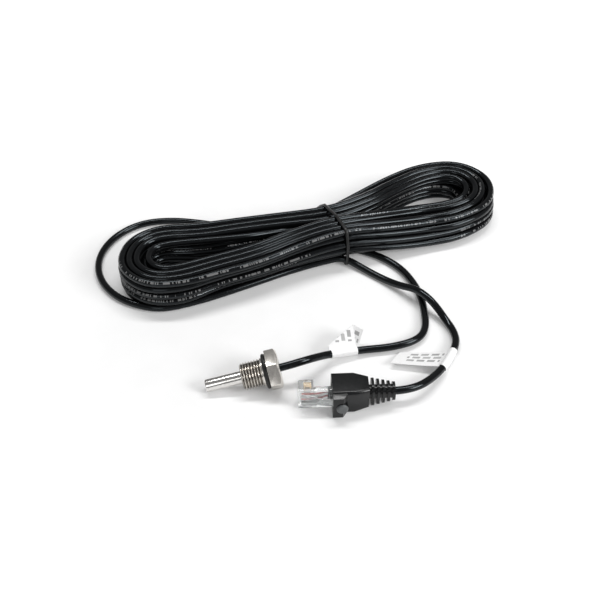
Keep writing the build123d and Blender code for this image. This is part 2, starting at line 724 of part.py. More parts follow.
# One file for each piece
export_step(probe_sheath.part, "parts/probe_sheath.step")
export_step(threaded_fitting.part, "parts/threaded_fitting.step")
export_step(sealing_ring.part, "parts/sealing_ring.step")
export_step(thermistor_bead.part, "parts/thermistor_bead.step")
export_step(tip_filler.part, "parts/tip_filler.step")
export_step(cable_seal.part, "parts/cable_seal.step")
export_step(cable_hank.part, "parts/cable_hank.step")
export_step(hank_tie.part, "parts/hank_tie.step")
export_step(label_probe_end.part, "parts/label_probe_end.step")
export_step(label_plug_end.part, "parts/label_plug_end.step")
export_step(plug_body.part, "parts/plug_body.step")
export_step(plug_boot.part, "parts/plug_boot.step")
for piece in inner_pairs + list(cables.values()) + contacts + plug_cores:
    export_step(piece, f"parts/{piece.label}.step")
print("tilt", round(degrees(TILT), 3), "tip", TIP, "exit", TIP + AXIS_DIRECTION * HEX_REAR)
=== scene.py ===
import math

import bmesh
import bpy
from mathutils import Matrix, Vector


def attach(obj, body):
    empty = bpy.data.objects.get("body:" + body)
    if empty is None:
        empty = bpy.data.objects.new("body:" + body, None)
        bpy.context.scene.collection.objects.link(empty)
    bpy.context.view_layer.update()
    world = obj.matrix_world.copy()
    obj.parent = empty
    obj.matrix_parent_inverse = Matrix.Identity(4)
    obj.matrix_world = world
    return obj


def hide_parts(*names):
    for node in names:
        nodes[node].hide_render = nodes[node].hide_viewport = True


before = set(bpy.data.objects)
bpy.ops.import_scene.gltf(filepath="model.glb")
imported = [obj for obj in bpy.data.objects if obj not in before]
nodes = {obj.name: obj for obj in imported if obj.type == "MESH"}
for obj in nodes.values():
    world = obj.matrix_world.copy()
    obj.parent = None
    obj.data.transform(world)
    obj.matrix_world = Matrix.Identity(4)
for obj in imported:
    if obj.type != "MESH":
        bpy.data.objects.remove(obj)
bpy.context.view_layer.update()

MM = 0.001
scene = bpy.context.scene

# Sizes repeated from the part's source, in millimetres
CABLE_DIAMETER = 3.7
SHEATH_RADIUS = 3.0
THREAD_MAJOR, NECK_DIAMETER, HEX_ACROSS_FLATS = 13.157, 12.5, 17.0
RING_SECTION, RING_CLEARANCE = 1.9, 0.05
HANK_CENTRE = Vector((60.5, 96.5, 0.0))
HANK_ANGLE = math.radians(11.8)
PLUG_NOSE = Vector((22.6, -15.0, 6.65))
PLUG_YAW = math.radians(-7.2)
JACKET_FRONT, BOOT_END = 13.4, 43.8
STRAIGHT_EXIT = 4.0

# Stations along the probe's axis, from its tip
THREAD_START, THREAD_CREST, NECK_START, JACKET_END = 17.0, 18.0, 27.4, 31.0
HEX_FACE, HEX_REAR = 29.4, 35.0

# The probe rests on its first full thread and on the edge of a hexagon flat, so its axis is tilted
TILT = math.atan2((HEX_ACROSS_FLATS - THREAD_MAJOR) / 2, HEX_FACE - THREAD_CREST)
TIP = Vector((-17.6638, 0.0, 3.49525))
AXIS = Vector((math.cos(TILT), 0.0, math.sin(TILT)))
PROBE_UP = Vector((-AXIS.z, 0.0, AXIS.x))
PROBE_SIDE = Vector((0.0, 1.0, 0.0))
PLUG_ALONG = Vector((math.cos(PLUG_YAW), math.sin(PLUG_YAW), 0.0))
PLUG_ACROSS = Vector((-PLUG_ALONG.y, PLUG_ALONG.x, 0.0))

# Camera, at the photograph's place
LENS, SENSOR_WIDTH, NEAREST_SEEN = 54.0, 36.0, 0.01
AZIMUTH, ELEVATION, DISTANCE = math.radians(-10.1), math.radians(43.0), 0.4603
AIM = Vector((35.7, 53.1, 0.0))


def add_camera():
    """A camera that looks back at its aim from an azimuth, an elevation and a distance."""
    data = bpy.data.cameras.new("camera")
    data.lens = LENS
    data.sensor_width = SENSOR_WIDTH
    data.clip_start = NEAREST_SEEN
    camera = bpy.data.objects.new("camera", data)
    scene.collection.objects.link(camera)
    level = math.cos(ELEVATION)
    back = Vector((math.sin(AZIMUTH) * level, -math.cos(AZIMUTH) * level, math.sin(ELEVATION)))
    camera.location = AIM * MM + back * DISTANCE
    camera.rotation_euler = (-back).to_track_quat("-Z", "Y").to_euler()
    scene.camera = camera


add_camera()


# Mesh helpers
SAME_POINT = 1e-6
FLAT_ANGLE = math.radians(1.0)


def place(name, mesh, material, slot, *replaced):
    """Put a piece in the scene: it rides on the only body and stands for the CAD nodes named."""
    piece = bpy.data.objects.new(name, mesh)
    scene.collection.objects.link(piece)
    mesh.materials.clear()
    mesh.materials.append(material)
    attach(piece, "root")
    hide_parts(*replaced)
    return piece


def shade(mesh, angle):
    """Smooth shading, with edges sharper than the angle kept crisp."""
    work = bmesh.new()
    work.from_mesh(mesh)
    for face in work.faces:
        face.smooth = True
    for edge in work.edges:
        edge.smooth = edge.calc_face_angle(0.0) < math.radians(angle)
    work.to_mesh(mesh)
    work.free()


def grid_mesh(name, rows, close_rows=False, close_columns=False):
    """Quads over a grid of points in millimetres: rows of equal length."""
    verts = [tuple(p * MM) for row in rows for p in row]
    high, wide = len(rows), len(rows[0])
    faces = []
    for i in range(high if close_rows else high - 1):
        this_row, next_row = i * wide, (i + 1) % high * wide
        for j in range(wide if close_columns else wide - 1):
            after = (j + 1) % wide
            faces.append((this_row + j, this_row + after, next_row + after, next_row + j))
    mesh = bpy.data.meshes.new(name)
    mesh.from_pydata(verts, [], faces)
    mesh.update()
    return mesh


def circle(steps):
    """The angles of a full circle in even steps."""
    return [2 * math.pi * i / steps for i in range(steps)]


def probe_point(along, radius, angle):
    """A place round the probe's axis: angle 0 is up, a quarter turn is towards +Y."""
    return TIP + AXIS * along + (PROBE_UP * math.cos(angle) + PROBE_SIDE * math.sin(angle)) * radius


def turned(name, profile, sides, closed=False):
    """A turned piece on the probe's axis, from a profile of places along it and radii."""
    rows = [[probe_point(along, radius, angle) for angle in circle(sides)] for along, radius in profile]
    return grid_mesh(name, rows, close_rows=closed, close_columns=True)


def softened(mesh, radius, angle, segments=2, beyond=None):
    """Fine rounded edges on a copied CAD mesh, cut off at a plane where one is given."""
    work = bmesh.new()
    work.from_mesh(mesh)
    bmesh.ops.remove_doubles(work, verts=work.verts, dist=SAME_POINT)
    if beyond:
        geometry = work.verts[:] + work.edges[:] + work.faces[:]
        bmesh.ops.bisect_plane(work, geom=geometry, plane_co=beyond[0], plane_no=beyond[1], clear_inner=True)
    bmesh.ops.dissolve_limit(work, angle_limit=FLAT_ANGLE, verts=work.verts, edges=work.edges)
    edges = [e for e in work.edges if e.is_manifold and e.calc_face_angle(0.0) > math.radians(angle)]
    bmesh.ops.bevel(
        work,
        geom=edges,
        offset=radius * MM,
        segments=segments,
        profile=0.5,
        affect="EDGES",
        clamp_overlap=True,
    )
    work.to_mesh(mesh)
    work.free()
    shade(mesh, angle)
    return mesh


# Material helpers
NOISE_ROUGHNESS = 0.55
RAMP_START, RAMP_END = 0.3, 0.7
MIX_FACTOR, MIX_FIRST, MIX_SECOND, MIX_COLOUR = 0, 6, 7, 2


def new_material(name):
    """A material with its node tree and its main shader."""
    material = bpy.data.materials.new(name)
    material.use_nodes = True
    tree = material.node_tree
    return material, tree, tree.nodes["Principled BSDF"]


def add(tree, kind, **settings):
    """A new node, with sockets and properties set by name."""
    node = tree.nodes.new(kind)
    for key, value in settings.items():
        if key in node.inputs:
            node.inputs[key].default_value = value
        else:
            setattr(node, key, value)
    return node


def feed(tree, value, socket):
    """Link another node's output to a socket, or set a plain value on it."""
    if isinstance(value, bpy.types.NodeSocket):
        tree.links.new(value, socket)
    else:
        socket.default_value = value


def maths(tree, operation, *values):
    """The result of a maths node on outputs and numbers."""
    node = add(tree, "ShaderNodeMath", operation=operation)
    for value, socket in zip(values, node.inputs):
        feed(tree, value, socket)
    return node.outputs["Value"]


def mixed_colour(tree, factor, first, second, blend="MIX"):
    """The second colour laid over the first by a factor."""
    node = add(tree, "ShaderNodeMix", data_type="RGBA", blend_type=blend)
    for index, value in ((MIX_FACTOR, factor), (MIX_FIRST, first), (MIX_SECOND, second)):
        feed(tree, value, node.inputs[index])
    return node.outputs[MIX_COLOUR]


def noise(tree, scale, detail, stretch=None):
    """Noise fixed to the piece, stretched where a grain is given."""
    source = add(tree, "ShaderNodeTexCoord").outputs["Object"]
    if stretch:
        mapping = add(tree, "ShaderNodeMapping", Scale=stretch)
        tree.links.new(source, mapping.inputs["Vector"])
        source = mapping.outputs["Vector"]
    texture = add(tree, "ShaderNodeTexNoise", Scale=scale, Detail=detail, Roughness=NOISE_ROUGHNESS)
    tree.links.new(source, texture.inputs["Vector"])
    return texture.outputs["Fac"]


def ramp(tree, source, low, high):
    """A colour between two, by a value."""
    node = add(tree, "ShaderNodeValToRGB")
    first, second = node.color_ramp.elements
    first.position, second.position = RAMP_START, RAMP_END
    first.color, second.color = low, high
    tree.links.new(source, node.inputs["Fac"])
    return node.outputs["Color"]


def spread(tree, source, low, high):
    """A value from 0 to 1 spread over a range."""
    node = add(tree, "ShaderNodeMapRange")
    node.inputs["To Min"].default_value = low
    node.inputs["To Max"].default_value = high
    tree.links.new(source, node.inputs["Value"])
    return node.outputs["Result"]


def bump(tree, shader, source, strength, depth):
    """Fine relief from a value."""
    node = add(tree, "ShaderNodeBump", Strength=strength, Distance=depth)
    tree.links.new(source, node.inputs["Height"])
    tree.links.new(node.outputs["Normal"], shader.inputs["Normal"])


def grey(value, tint=(1.0, 1.0, 1.0)):
    """An opaque grey, tinted where a tint is given."""
    return (value * tint[0], value * tint[1], value * tint[2], 1.0)


def greys(dark, light, tint=(1.0, 1.0, 1.0)):
    """The two ends of a range of greys."""
    return grey(dark, tint), grey(light, tint)


# Materials
EVEN_GRAIN, DRAWN_GRAIN, TURNED_GRAIN = (1.0, 1.0, 1.0), (0.15, 6.0, 6.0), (6.0, 1.0, 1.0)
STEEL_TINT, NICKEL_TINT, ROOT_SHADE_TINT = (1.0, 0.98, 0.95), (1.0, 0.96, 0.90), (1.0, 0.92, 0.82)
BOOT_TINT, BUTTON_HIGHLIGHT_TINT, JACKET_TINT = (0.9, 1.0, 1.1), (0.93, 1.0, 1.02), (1.0, 1.0, 1.1)
RED_TINT, ROSE_TINT, AMBER_TINT = (1.0, 0.16, 0.12), (1.0, 0.35, 0.35), (1.0, 0.55, 0.2)
# Painted shade in the thread roots: their colour is darkened towards this grey by their depth
ROOT_SHADE_GREY, ROOT_SHADE_STRENGTH = 0.16, 0.85


def metal(name, colours, rough, grain=EVEN_GRAIN, roots=False):
    """Metal with speckle and grain, and with painted shade that darkens the thread roots where the mesh marks
    them.
    """
    material, tree, shader = new_material(name)
    shader.inputs["Metallic"].default_value = 1.0
    colour = ramp(tree, noise(tree, scale=900.0, detail=4.0), *colours)
    if roots:
        # Painted shade: the deeper a place lies in the thread, the darker its colour
        root_shade_mark = add(tree, "ShaderNodeAttribute", attribute_name="root").outputs["Fac"]
        share = spread(tree, root_shade_mark, 0.0, ROOT_SHADE_STRENGTH)
        colour = mixed_colour(tree, share, colour, grey(ROOT_SHADE_GREY, ROOT_SHADE_TINT), "MULTIPLY")
    tree.links.new(colour, shader.inputs["Base Color"])
    streaks = noise(tree, scale=260.0, detail=3.0, stretch=grain)
    tree.links.new(spread(tree, streaks, *rough), shader.inputs["Roughness"])
    bump(tree, shader, noise(tree, scale=700.0, detail=2.0, stretch=grain), strength=0.12, depth=0.00004)
    return material


def plastic(name, colours, rough, gloss=0.5):
    """Plastic or rubber with a faint mottle and fine pores."""
    material, tree, shader = new_material(name)
    shader.inputs["Specular IOR Level"].default_value = gloss
    tree.links.new(ramp(tree, noise(tree, scale=340.0, detail=4.0), *colours), shader.inputs["Base Color"])
    sheen = spread(tree, noise(tree, scale=520.0, detail=3.0), *rough)
    tree.links.new(sheen, shader.inputs["Roughness"])
    bump(tree, shader, noise(tree, scale=2600.0, detail=2.0), strength=0.2, depth=0.00003)
    return material


def clear_plastic():
    """Clear moulded plastic with faint flow marks."""
    material, tree, shader = new_material("plug_clear")
    shader.inputs["Transmission Weight"].default_value = 0.9
    shader.inputs["IOR"].default_value = 1.3
    flow = noise(tree, scale=260.0, detail=4.0, stretch=(1.0, 3.0, 3.0))
    colour = ramp(tree, flow, grey(0.86, (0.98, 1.0, 1.0)), grey(0.96, (0.99, 1.0, 1.0)))
    tree.links.new(colour, shader.inputs["Base Color"])
    haze = spread(tree, noise(tree, scale=800.0, detail=2.0), low=0.03, high=0.10)
    tree.links.new(haze, shader.inputs["Roughness"])
    bump(tree, shader, flow, strength=0.12, depth=0.00005)
    return material


# Pale ticks along the cable, in metres along it and in turns round it
TICK_SIDE, TICK_TWIST, TICK_HALF_HEIGHT = 0.8, 0.83, 0.046
SWAY, SWAY_RATE = 0.1, 7.0
STROKE_LENGTH, STROKE_SHARE = 0.00055, 0.52
GROUP_LENGTH, GROUP_SHARE = 0.0042, 0.80
STRETCH_LENGTH, STRETCH_SHARE = 0.085, 0.46
TICK_GREY = 0.17


def chance(tree, source, cell, share):
    """1 in a share of the cells that a length is cut into, else 0."""
    dice = add(tree, "ShaderNodeTexWhiteNoise", noise_dimensions="1D")
    tree.links.new(maths(tree, "FLOOR", maths(tree, "DIVIDE", source, cell)), dice.inputs["W"])
    return maths(tree, "LESS_THAN", dice.outputs["Value"], share)


def cable_ticks(tree):
    """1 on a row of short strokes that comes and goes along the cable and winds slowly round it."""
    split = add(tree, "ShaderNodeSeparateXYZ")
    tree.links.new(add(tree, "ShaderNodeUVMap", uv_map="along").outputs["UV"], split.inputs["Vector"])
    along, around = split.outputs["X"], split.outputs["Y"]
    sway = maths(tree, "MULTIPLY", maths(tree, "SINE", maths(tree, "MULTIPLY", along, SWAY_RATE)), SWAY)
    drift = maths(tree, "ADD", maths(tree, "MULTIPLY", along, TICK_TWIST), sway)
    side = maths(tree, "SUBTRACT", around, maths(tree, "ADD", drift, TICK_SIDE))
    offset = maths(tree, "ABSOLUTE", maths(tree, "SUBTRACT", maths(tree, "FRACT", side), 0.5))
    ticks = maths(tree, "LESS_THAN", offset, TICK_HALF_HEIGHT)
    for length, share in (
        (STROKE_LENGTH, STROKE_SHARE),
        (GROUP_LENGTH, GROUP_SHARE),
        (STRETCH_LENGTH, STRETCH_SHARE),
    ):
        ticks = maths(tree, "MULTIPLY", ticks, chance(tree, along, length, share))
    return ticks


def cable_material():
    """Black glossy jacket with a row of small pale ticks here and there along it."""
    material, tree, shader = new_material("jacket_black")
    black = ramp(tree, noise(tree, scale=420.0, detail=4.0), *greys(0.002, 0.0045, JACKET_TINT))
    colour = mixed_colour(tree, cable_ticks(tree), black, grey(TICK_GREY))
    tree.links.new(colour, shader.inputs["Base Color"])
    sheen = spread(tree, noise(tree, scale=600.0, detail=3.0), low=0.09, high=0.16)
    tree.links.new(sheen, shader.inputs["Roughness"])
    shader.inputs["Specular IOR Level"].default_value = 0.30
    shader.inputs["Specular Tint"].default_value = grey(1.0, (0.84, 0.94, 1.0))
    bump(tree, shader, noise(tree, scale=1500.0, detail=3.0), strength=0.15, depth=0.00004)
    return material


# Plain grey bars on the labels, in metres along and across the flag
BAR_LENGTH, BAR_ROW, BAR_GAP, BAR_SOFTNESS, BAR_SHIFT = 0.0048, 0.0032, 0.0007, 0.1, 0.37
BAR_DARK, BAR_LIGHT, PAPER_GREY = 0.36, 0.50, 0.92
BAR_FIELD = {"X": (0.0112, 0.0080), "Y": (0.0080, 0.0048)}


def label_bars(tree):
    """Rows of grey bars inside a field of the label, and white round it."""
    uv = add(tree, "ShaderNodeUVMap", uv_map="along").outputs["UV"]
    bars = add(tree, "ShaderNodeTexBrick", offset=BAR_SHIFT, offset_frequency=2)
    for key, value in (
        ("Scale", 1.0),
        ("Brick Width", BAR_LENGTH),
        ("Row Height", BAR_ROW),
        ("Mortar Size", BAR_GAP),
        ("Mortar Smooth", BAR_SOFTNESS),
        ("Color1", grey(BAR_DARK)),
        ("Color2", grey(BAR_LIGHT)),
        ("Mortar", grey(PAPER_GREY)),
    ):
        bars.inputs[key].default_value = value
    tree.links.new(uv, bars.inputs["Vector"])
    split = add(tree, "ShaderNodeSeparateXYZ")
    tree.links.new(uv, split.inputs["Vector"])
    inside = [
        maths(tree, "COMPARE", split.outputs[axis], middle, reach)
        for axis, (middle, reach) in BAR_FIELD.items()
    ]
    return mixed_colour(tree, maths(tree, "MULTIPLY", *inside), grey(PAPER_GREY), bars.outputs["Color"])


def label_material():
    """White label stock with a faint mottle and a few plain grey bars."""
    material, tree, shader = new_material("label_white")
    mottle = ramp(tree, noise(tree, scale=900.0, detail=3.0), *greys(0.93, 1.0))
    tree.links.new(mixed_colour(tree, 1.0, label_bars(tree), mottle, "MULTIPLY"), shader.inputs["Base Color"])
    sheen = spread(tree, noise(tree, scale=700.0, detail=2.0), low=0.38, high=0.52)
    tree.links.new(sheen, shader.inputs["Roughness"])
    bump(tree, shader, noise(tree, scale=1100.0, detail=3.0), strength=0.15, depth=0.00003)
    return material


steel = metal("sheath_steel", greys(0.68, 0.78, STEEL_TINT), rough=(0.12, 0.22), grain=DRAWN_GRAIN)
nickel = metal("fitting_nickel", greys(0.76, 0.86, NICKEL_TINT), rough=(0.16, 0.28), grain=TURNED_GRAIN)
# The thread's nickel is a little darker than the hexagon's, and carries the painted shade in its roots
thread_nickel_root_shade = metal(
    "thread_nickel_root_shade", greys(0.72, 0.82, NICKEL_TINT), rough=(0.16, 0.28), grain=TURNED_GRAIN, roots=True
)
gold = metal("contact_gold", ((0.29, 0.20, 0.10, 1.0), (0.38, 0.27, 0.14, 1.0)), rough=(0.38, 0.48))
tinned = metal("lead_tinned", greys(0.55, 0.65), rough=(0.25, 0.4))
rubber = plastic("ring_rubber", greys(0.006, 0.012), rough=(0.38, 0.50), gloss=0.4)
boot_black = plastic("boot_black", greys(0.003, 0.006, BOOT_TINT), rough=(0.19, 0.27), gloss=0.38)
# A lighter grey of the boot's black rubber, a painted highlight on its button
button_painted_highlight = plastic("button_painted_highlight", greys(0.085, 0.12, BUTTON_HIGHLIGHT_TINT), rough=(0.40, 0.52))
tie_black = plastic("tie_black", greys(0.006, 0.012), rough=(0.30, 0.40), gloss=0.4)
resin = plastic("resin_black", greys(0.008, 0.014), rough=(0.18, 0.3))
core_red = plastic("core_red", greys(0.30, 0.36, RED_TINT), rough=(0.35, 0.45))
core_white = plastic("core_white", greys(0.66, 0.74), rough=(0.35, 0.45))
core_rose = plastic("core_rose", greys(0.50, 0.56, ROSE_TINT), rough=(0.35, 0.45))
core_black = plastic("core_black", greys(0.016, 0.024), rough=(0.35, 0.45))
filler = plastic("filler_grey", greys(0.30, 0.36), rough=(0.5, 0.6))
bead = plastic("bead_epoxy", greys(0.20, 0.28, AMBER_TINT), rough=(0.2, 0.3))
sleeve = plastic("sleeve_black", greys(0.012, 0.020), rough=(0.4, 0.5))
plug_clear = clear_plastic()
jacket = cable_material()
label_white = label_material()


# Cable: one line from the probe through the hank and the loose turn to the plug
RESTING = CABLE_DIAMETER / 2 + 0.05


def hank_place(x, y, z):
    """A place on the hank: x along it from the tie, y towards the back."""
    c, s = math.cos(HANK_ANGLE), math.sin(HANK_ANGLE)
    return HANK_CENTRE + Vector((x * c - y * s, x * s + y * c, z))


def plug_place(x):
    """A place on the plug's middle line, x from its nose."""
    return PLUG_NOSE + PLUG_ALONG * x


PROBE_ROUTE = [
    TIP + AXIS * JACKET_END,
    TIP + AXIS * (HEX_REAR + STRAIGHT_EXIT),
    Vector((28.4, 1.2, 10.6)),
    Vector((35.0, 4.6, 8.2)),
    Vector((42.0, 8.7, 4.7)),
    Vector((58.8, 10.9, 2.4)),
    Vector((69.5, 10.3, 2.3)),
    Vector((77.5, 10.5, 2.7)),
    Vector((84.3, 12.0, 2.7)),
    Vector((89.8, 15.8, 2.2)),
    Vector((93.4, 22.5, RESTING)),
    Vector((95.2, 31.5, RESTING)),
    Vector((96.6, 41.5, RESTING)),
    Vector((95.9, 52.8, RESTING)),
    Vector((92.2, 66.2, RESTING)),
    Vector((83.6, 77.6, RESTING)),
    Vector((73.6, 84.6, RESTING)),
]
PLUG_ROUTE = [
    plug_place(JACKET_FRONT),
    plug_place(BOOT_END - STRAIGHT_EXIT),
    plug_place(BOOT_END + STRAIGHT_EXIT),
    Vector((78.2, -19.4, 6.2)),
    Vector((85.2, -14.8, 4.8)),
    Vector((92.6, -8.2, 3.0)),
    Vector((104.0, 5.8, 2.4)),
    Vector((105.8, 15.2, RESTING)),
    Vector((103.8, 23.8, 2.4)),
    Vector((100.6, 31.2, 5.6)),
    Vector((97.6, 36.6, 7.2)),
    Vector((93.8, 43.4, 7.0)),
    Vector((88.0, 50.6, 3.6)),
    Vector((81.2, 58.8, RESTING)),
    Vector((73.4, 68.0, RESTING)),
]
LOOP_ROUTE = [
    Vector((-9.0, 123.5, RESTING)),
    Vector((-25.0, 128.6, RESTING)),
    Vector((-41.0, 128.6, RESTING)),
    Vector((-54.5, 120.8, RESTING)),
    Vector((-63.3, 108.0, RESTING)),
    Vector((-65.9, 93.0, RESTING)),
    Vector((-62.2, 78.5, RESTING)),
    Vector((-53.5, 66.5, RESTING)),
]
# The probe's lead comes in under the front, and the loose turn runs along the front edge
LEAD_IN = [
    hank_place(0.0, -8.5, 3.0),
    hank_place(-13.0, -2.4, 2.5),
    hank_place(-24.0, 0.4, RESTING),
    hank_place(-36.0, 1.2, RESTING),
    hank_place(-48.0, 1.6, RESTING),
    hank_place(-70.0, 2.4, RESTING),
]
FRONT_EDGE = [
    hank_place(-106.5, -16.6, RESTING),
    hank_place(-97.3, -20.2, RESTING),
    hank_place(-82.0, -20.8, RESTING),
    hank_place(-68.0, -20.0, RESTING),
    hank_place(-55.0, -18.8, RESTING),
    hank_place(-43.0, -17.6, RESTING),
    hank_place(-32.0, -16.5, RESTING),
    hank_place(-20.0, -16.2, 2.0),
    hank_place(-9.0, -16.8, 2.6),
    hank_place(0.0, -18.2, 3.0),
]
# Behind the hank, its last turn swings out to become the loose turn
SWING_OUT = [hank_place(-40.0, 26.0, RESTING), hank_place(-52.0, 33.0, RESTING)]

# Hank: at each station along it, strands lie in layers, and columns count outwards from its middle
LAYERS = (4, 5, 5, 4, 4)
TURNS = sum(LAYERS)
TOUCH = CABLE_DIAMETER + 0.02
STRAY_BY_TURN, STRAY_BY_START = 2.4, 0.7
RIGHT_MIDDLE, LEFT_MIDDLE = (69.0, 0.0), (-90.2, 1.5)
END_STATION = 66.0
END_STEP = math.radians(45.0)
# A line led by points an even step apart round a circle runs inside them, so they stand further out
BOW = 1 / math.cos(END_STEP / 2)
EASING_ROUNDS, LEAST_GAP = 80, 0.01


def slot_of(turn):
    """Layer and column of a turn: one layer is filled outwards, the next one inwards."""
    layer = 0
    while turn >= LAYERS[layer]:
        turn -= LAYERS[layer]
        layer += 1
    return layer, turn if layer % 2 == 0 else LAYERS[layer] - 1 - turn


def stack(start, step, rise=3.5, lift=0.0, shear=0.0, skip=0.0, loose=0.45, stagger=0.0):
    """Distance from the middle and height of every turn at one station.

    Columns begin at start and are a step apart. Layers rise by an even amount above a lift, and lean
    outwards by the shear. Short layers skip outwards, every other layer is staggered, and each strand
    strays a little where it is loose.
    """
    spots = []
    for turn in range(TURNS):
        layer, column = slot_of(turn)
        inset = skip * (max(LAYERS) - LAYERS[layer]) + stagger * (layer % 2)
        stray = loose * math.sin(STRAY_BY_TURN * turn + STRAY_BY_START * start)
        spots.append([start + step * (column + inset) + shear * layer + stray, RESTING + lift + rise * layer])
    return spots


front = {
    -70.0: stack(start=1.4, step=3.85, rise=3.9, shear=1.3, skip=0.7, loose=0.8),
    -48.0: stack(start=2.0, step=3.7, rise=3.8, lift=0.4, shear=1.2, skip=0.7, loose=1.1),
    -24.0: stack(start=2.4, step=3.6, rise=3.6, lift=2.4, shear=0.4, skip=0.6, loose=0.9),
    0.0: stack(start=4.6, step=3.7, rise=3.5, lift=4.4, skip=0.5, loose=0.1),
    24.0: stack(start=4.2, step=4.4, rise=3.0, lift=2.6, shear=0.2, skip=0.4, loose=0.7, stagger=0.3),
    46.0: stack(start=4.2, step=4.7, rise=2.6, lift=0.4, skip=0.3, loose=0.9, stagger=0.5),
    END_STATION: stack(start=6.5, step=4.6, rise=2.8, shear=0.3, skip=0.4, loose=0.4, stagger=0.5),
}
rear = {
    END_STATION: stack(start=17.3, step=3.75, rise=3.9, shear=-1.15),
    46.0: stack(start=13.2, step=3.75, rise=3.8, shear=-1.1),
    24.0: stack(start=5.0, step=3.7, rise=3.4, lift=0.6, shear=-0.7),
    0.0: stack(start=-1.0, step=4.2, rise=2.7, lift=1.0, loose=0.1),
    -24.0: stack(start=1.6, step=3.7, rise=3.3, lift=0.4, skip=0.8),
    -48.0: stack(start=3.6, step=3.8, rise=3.8, skip=1.1),
    -70.0: stack(start=5.0, step=4.1, rise=3.9, skip=1.2),
}
right_end = stack(start=10.4, step=3.75, rise=3.6, shear=0.3, skip=0.8, loose=0.8)
left_back = stack(start=7.0, step=3.85, rise=3.9, skip=0.9)
left_end = stack(start=8.4, step=3.75, rise=3.9, shear=0.2, skip=0.8, loose=0.7)
left_front = stack(start=6.4, step=3.75, rise=3.9, shear=0.4, skip=0.7)
# Near the top, one turn and the end of the turn before it are pulled in, at places given one by one
TIGHT_TURN = 18
BEFORE_TIGHT = TIGHT_TURN - 1
rear[-48.0][BEFORE_TIGHT] = [1.6, 16.6]
rear[-70.0][BEFORE_TIGHT] = [6.2, 17.2]
left_back[TIGHT_TURN] = [8.6, 17.4]
left_end[TIGHT_TURN] = [9.8, 17.6]
left_front[TIGHT_TURN] = [10.8, 17.6]
right_end[TIGHT_TURN] = [13.4, 15.6]
right_end[BEFORE_TIGHT] = [14.6, 12.0]

# Strands already in place: the last turn on its way down, and the lead in and loose turn under the front
LAST_DOWN = {46.0: (24.6, 13.6), 24.0: (22.8, 8.0), 0.0: (19.4, 3.6), -24.0: (20.8, RESTING)}
UNDER = {
    -70.0: [(2.4, RESTING), (-20.2, RESTING)],
    -48.0: [(1.6, RESTING), (-18.2, RESTING)],
    -24.0: [(0.4, RESTING), (-16.3, RESTING)],
    0.0: [(-8.5, 3.0), (-18.2, 3.0)],
}
BESIDE_LEFT_FRONT = (22.2, RESTING)


def push_apart(first, second, first_held):
    """Move two strands apart until they touch, and only the second where the first is held."""
    dy, dz = second[0] - first[0], second[1] - first[1]
    gap = math.hypot(dy, dz)
    if gap >= TOUCH:
        return
    push = (TOUCH - gap) / max(gap, LEAST_GAP) * 0.5
    share = 2.0 if first_held else 1.0
    second[0] += dy * push * share
    second[1] += dz * push * share
    if not first_held:
        first[0] -= dy * push
        first[1] -= dz * push


def eased(spots, fixed=()):
    """The strands of one station, pushed until none cuts another, a fixed one or the table."""
    held = len(fixed)
    strands = [list(spot) for spot in fixed] + [list(spot) for spot in spots]
    for _ in range(EASING_ROUNDS):
        for i in range(len(strands)):
            for j in range(max(i + 1, held), len(strands)):
                push_apart(strands[i], strands[j], i < held)
        for strand in strands[held:]:
            strand[1] = max(strand[1], RESTING)
    return strands[held:]


def halfway(first, second):
    """Strands halfway between two stations."""
    return [[p + (q - p) * 0.5 for p, q in zip(a, b)] for a, b in zip(first, second)]


for x in front:
    ending = [LAST_DOWN[x]] if x in LAST_DOWN else []
    crossing = [[-y, z] for y, z in front[x]]
    behind = rear[x][:TURNS - len(ending)]
    both = eased(crossing + behind, UNDER.get(x, []) + ending)
    front[x], rear[x] = both[:TURNS], both[TURNS:] + ending

right_front = [[RIGHT_MIDDLE[1] - y, z] for y, z in front[END_STATION]]
right_back = [[y - RIGHT_MIDDLE[1], z] for y, z in rear[END_STATION]]
right_turn = {
    -45.0: eased(halfway(right_front, right_end)),
    0.0: eased(right_end),
    45.0: eased(halfway(right_back, right_end)),
}
left_turn = {
    90.0: eased(left_back),
    135.0: eased(halfway(left_back, left_end)),
    180.0: eased(left_end),
    225.0: eased(halfway(left_front, left_end)),
    270.0: eased(left_front, [BESIDE_LEFT_FRONT]),
}


def round_end(middle, degrees, spot):
    """A place round one end of the hank, from its distance out and its height."""
    out, angle = spot[0] * BOW, math.radians(degrees)
    return hank_place(middle[0] + out * math.cos(angle), middle[1] + out * math.sin(angle), spot[1])


def hank_turns():
    """Every turn of the hank: round its left end, along its front, round its right end and back."""
    line = []
    for turn in range(TURNS):
        last = turn == TURNS - 1
        line += [round_end(LEFT_MIDDLE, degrees, spots[turn]) for degrees, spots in left_turn.items()]
        line += [hank_place(x, *spots[turn]) for x, spots in front.items()]
        line += [round_end(RIGHT_MIDDLE, degrees, spots[turn]) for degrees, spots in right_turn.items()]
        line += [hank_place(x, *spots[turn]) for x, spots in rear.items() if not last or x >= min(LAST_DOWN)]
    return line


CABLE_LINE = PROBE_ROUTE + LEAD_IN + hank_turns() + SWING_OUT + LOOP_ROUTE + FRONT_EDGE + PLUG_ROUTE[::-1]


def spline_points(name, places, resolution):
    """Points along one smooth NURBS line led by control points, in millimetres."""
    data = bpy.data.curves.new(name, "CURVE")
    data.dimensions = "3D"
    data.resolution_u = resolution
    spline = data.splines.new("NURBS")
    spline.points.add(len(places) - 1)
    for point, spot in zip(spline.points, places):
        point.co = (*spot, 1.0)
    spline.order_u = 3
    spline.use_endpoint_u = True
    holder = bpy.data.objects.new(name, data)
    scene.collection.objects.link(holder)
    mesh = bpy.data.meshes.new_from_object(holder)
    points = [vertex.co.copy() for vertex in mesh.vertices]
    bpy.data.objects.remove(holder)
    bpy.data.curves.remove(data)
    bpy.data.meshes.remove(mesh)
    return points


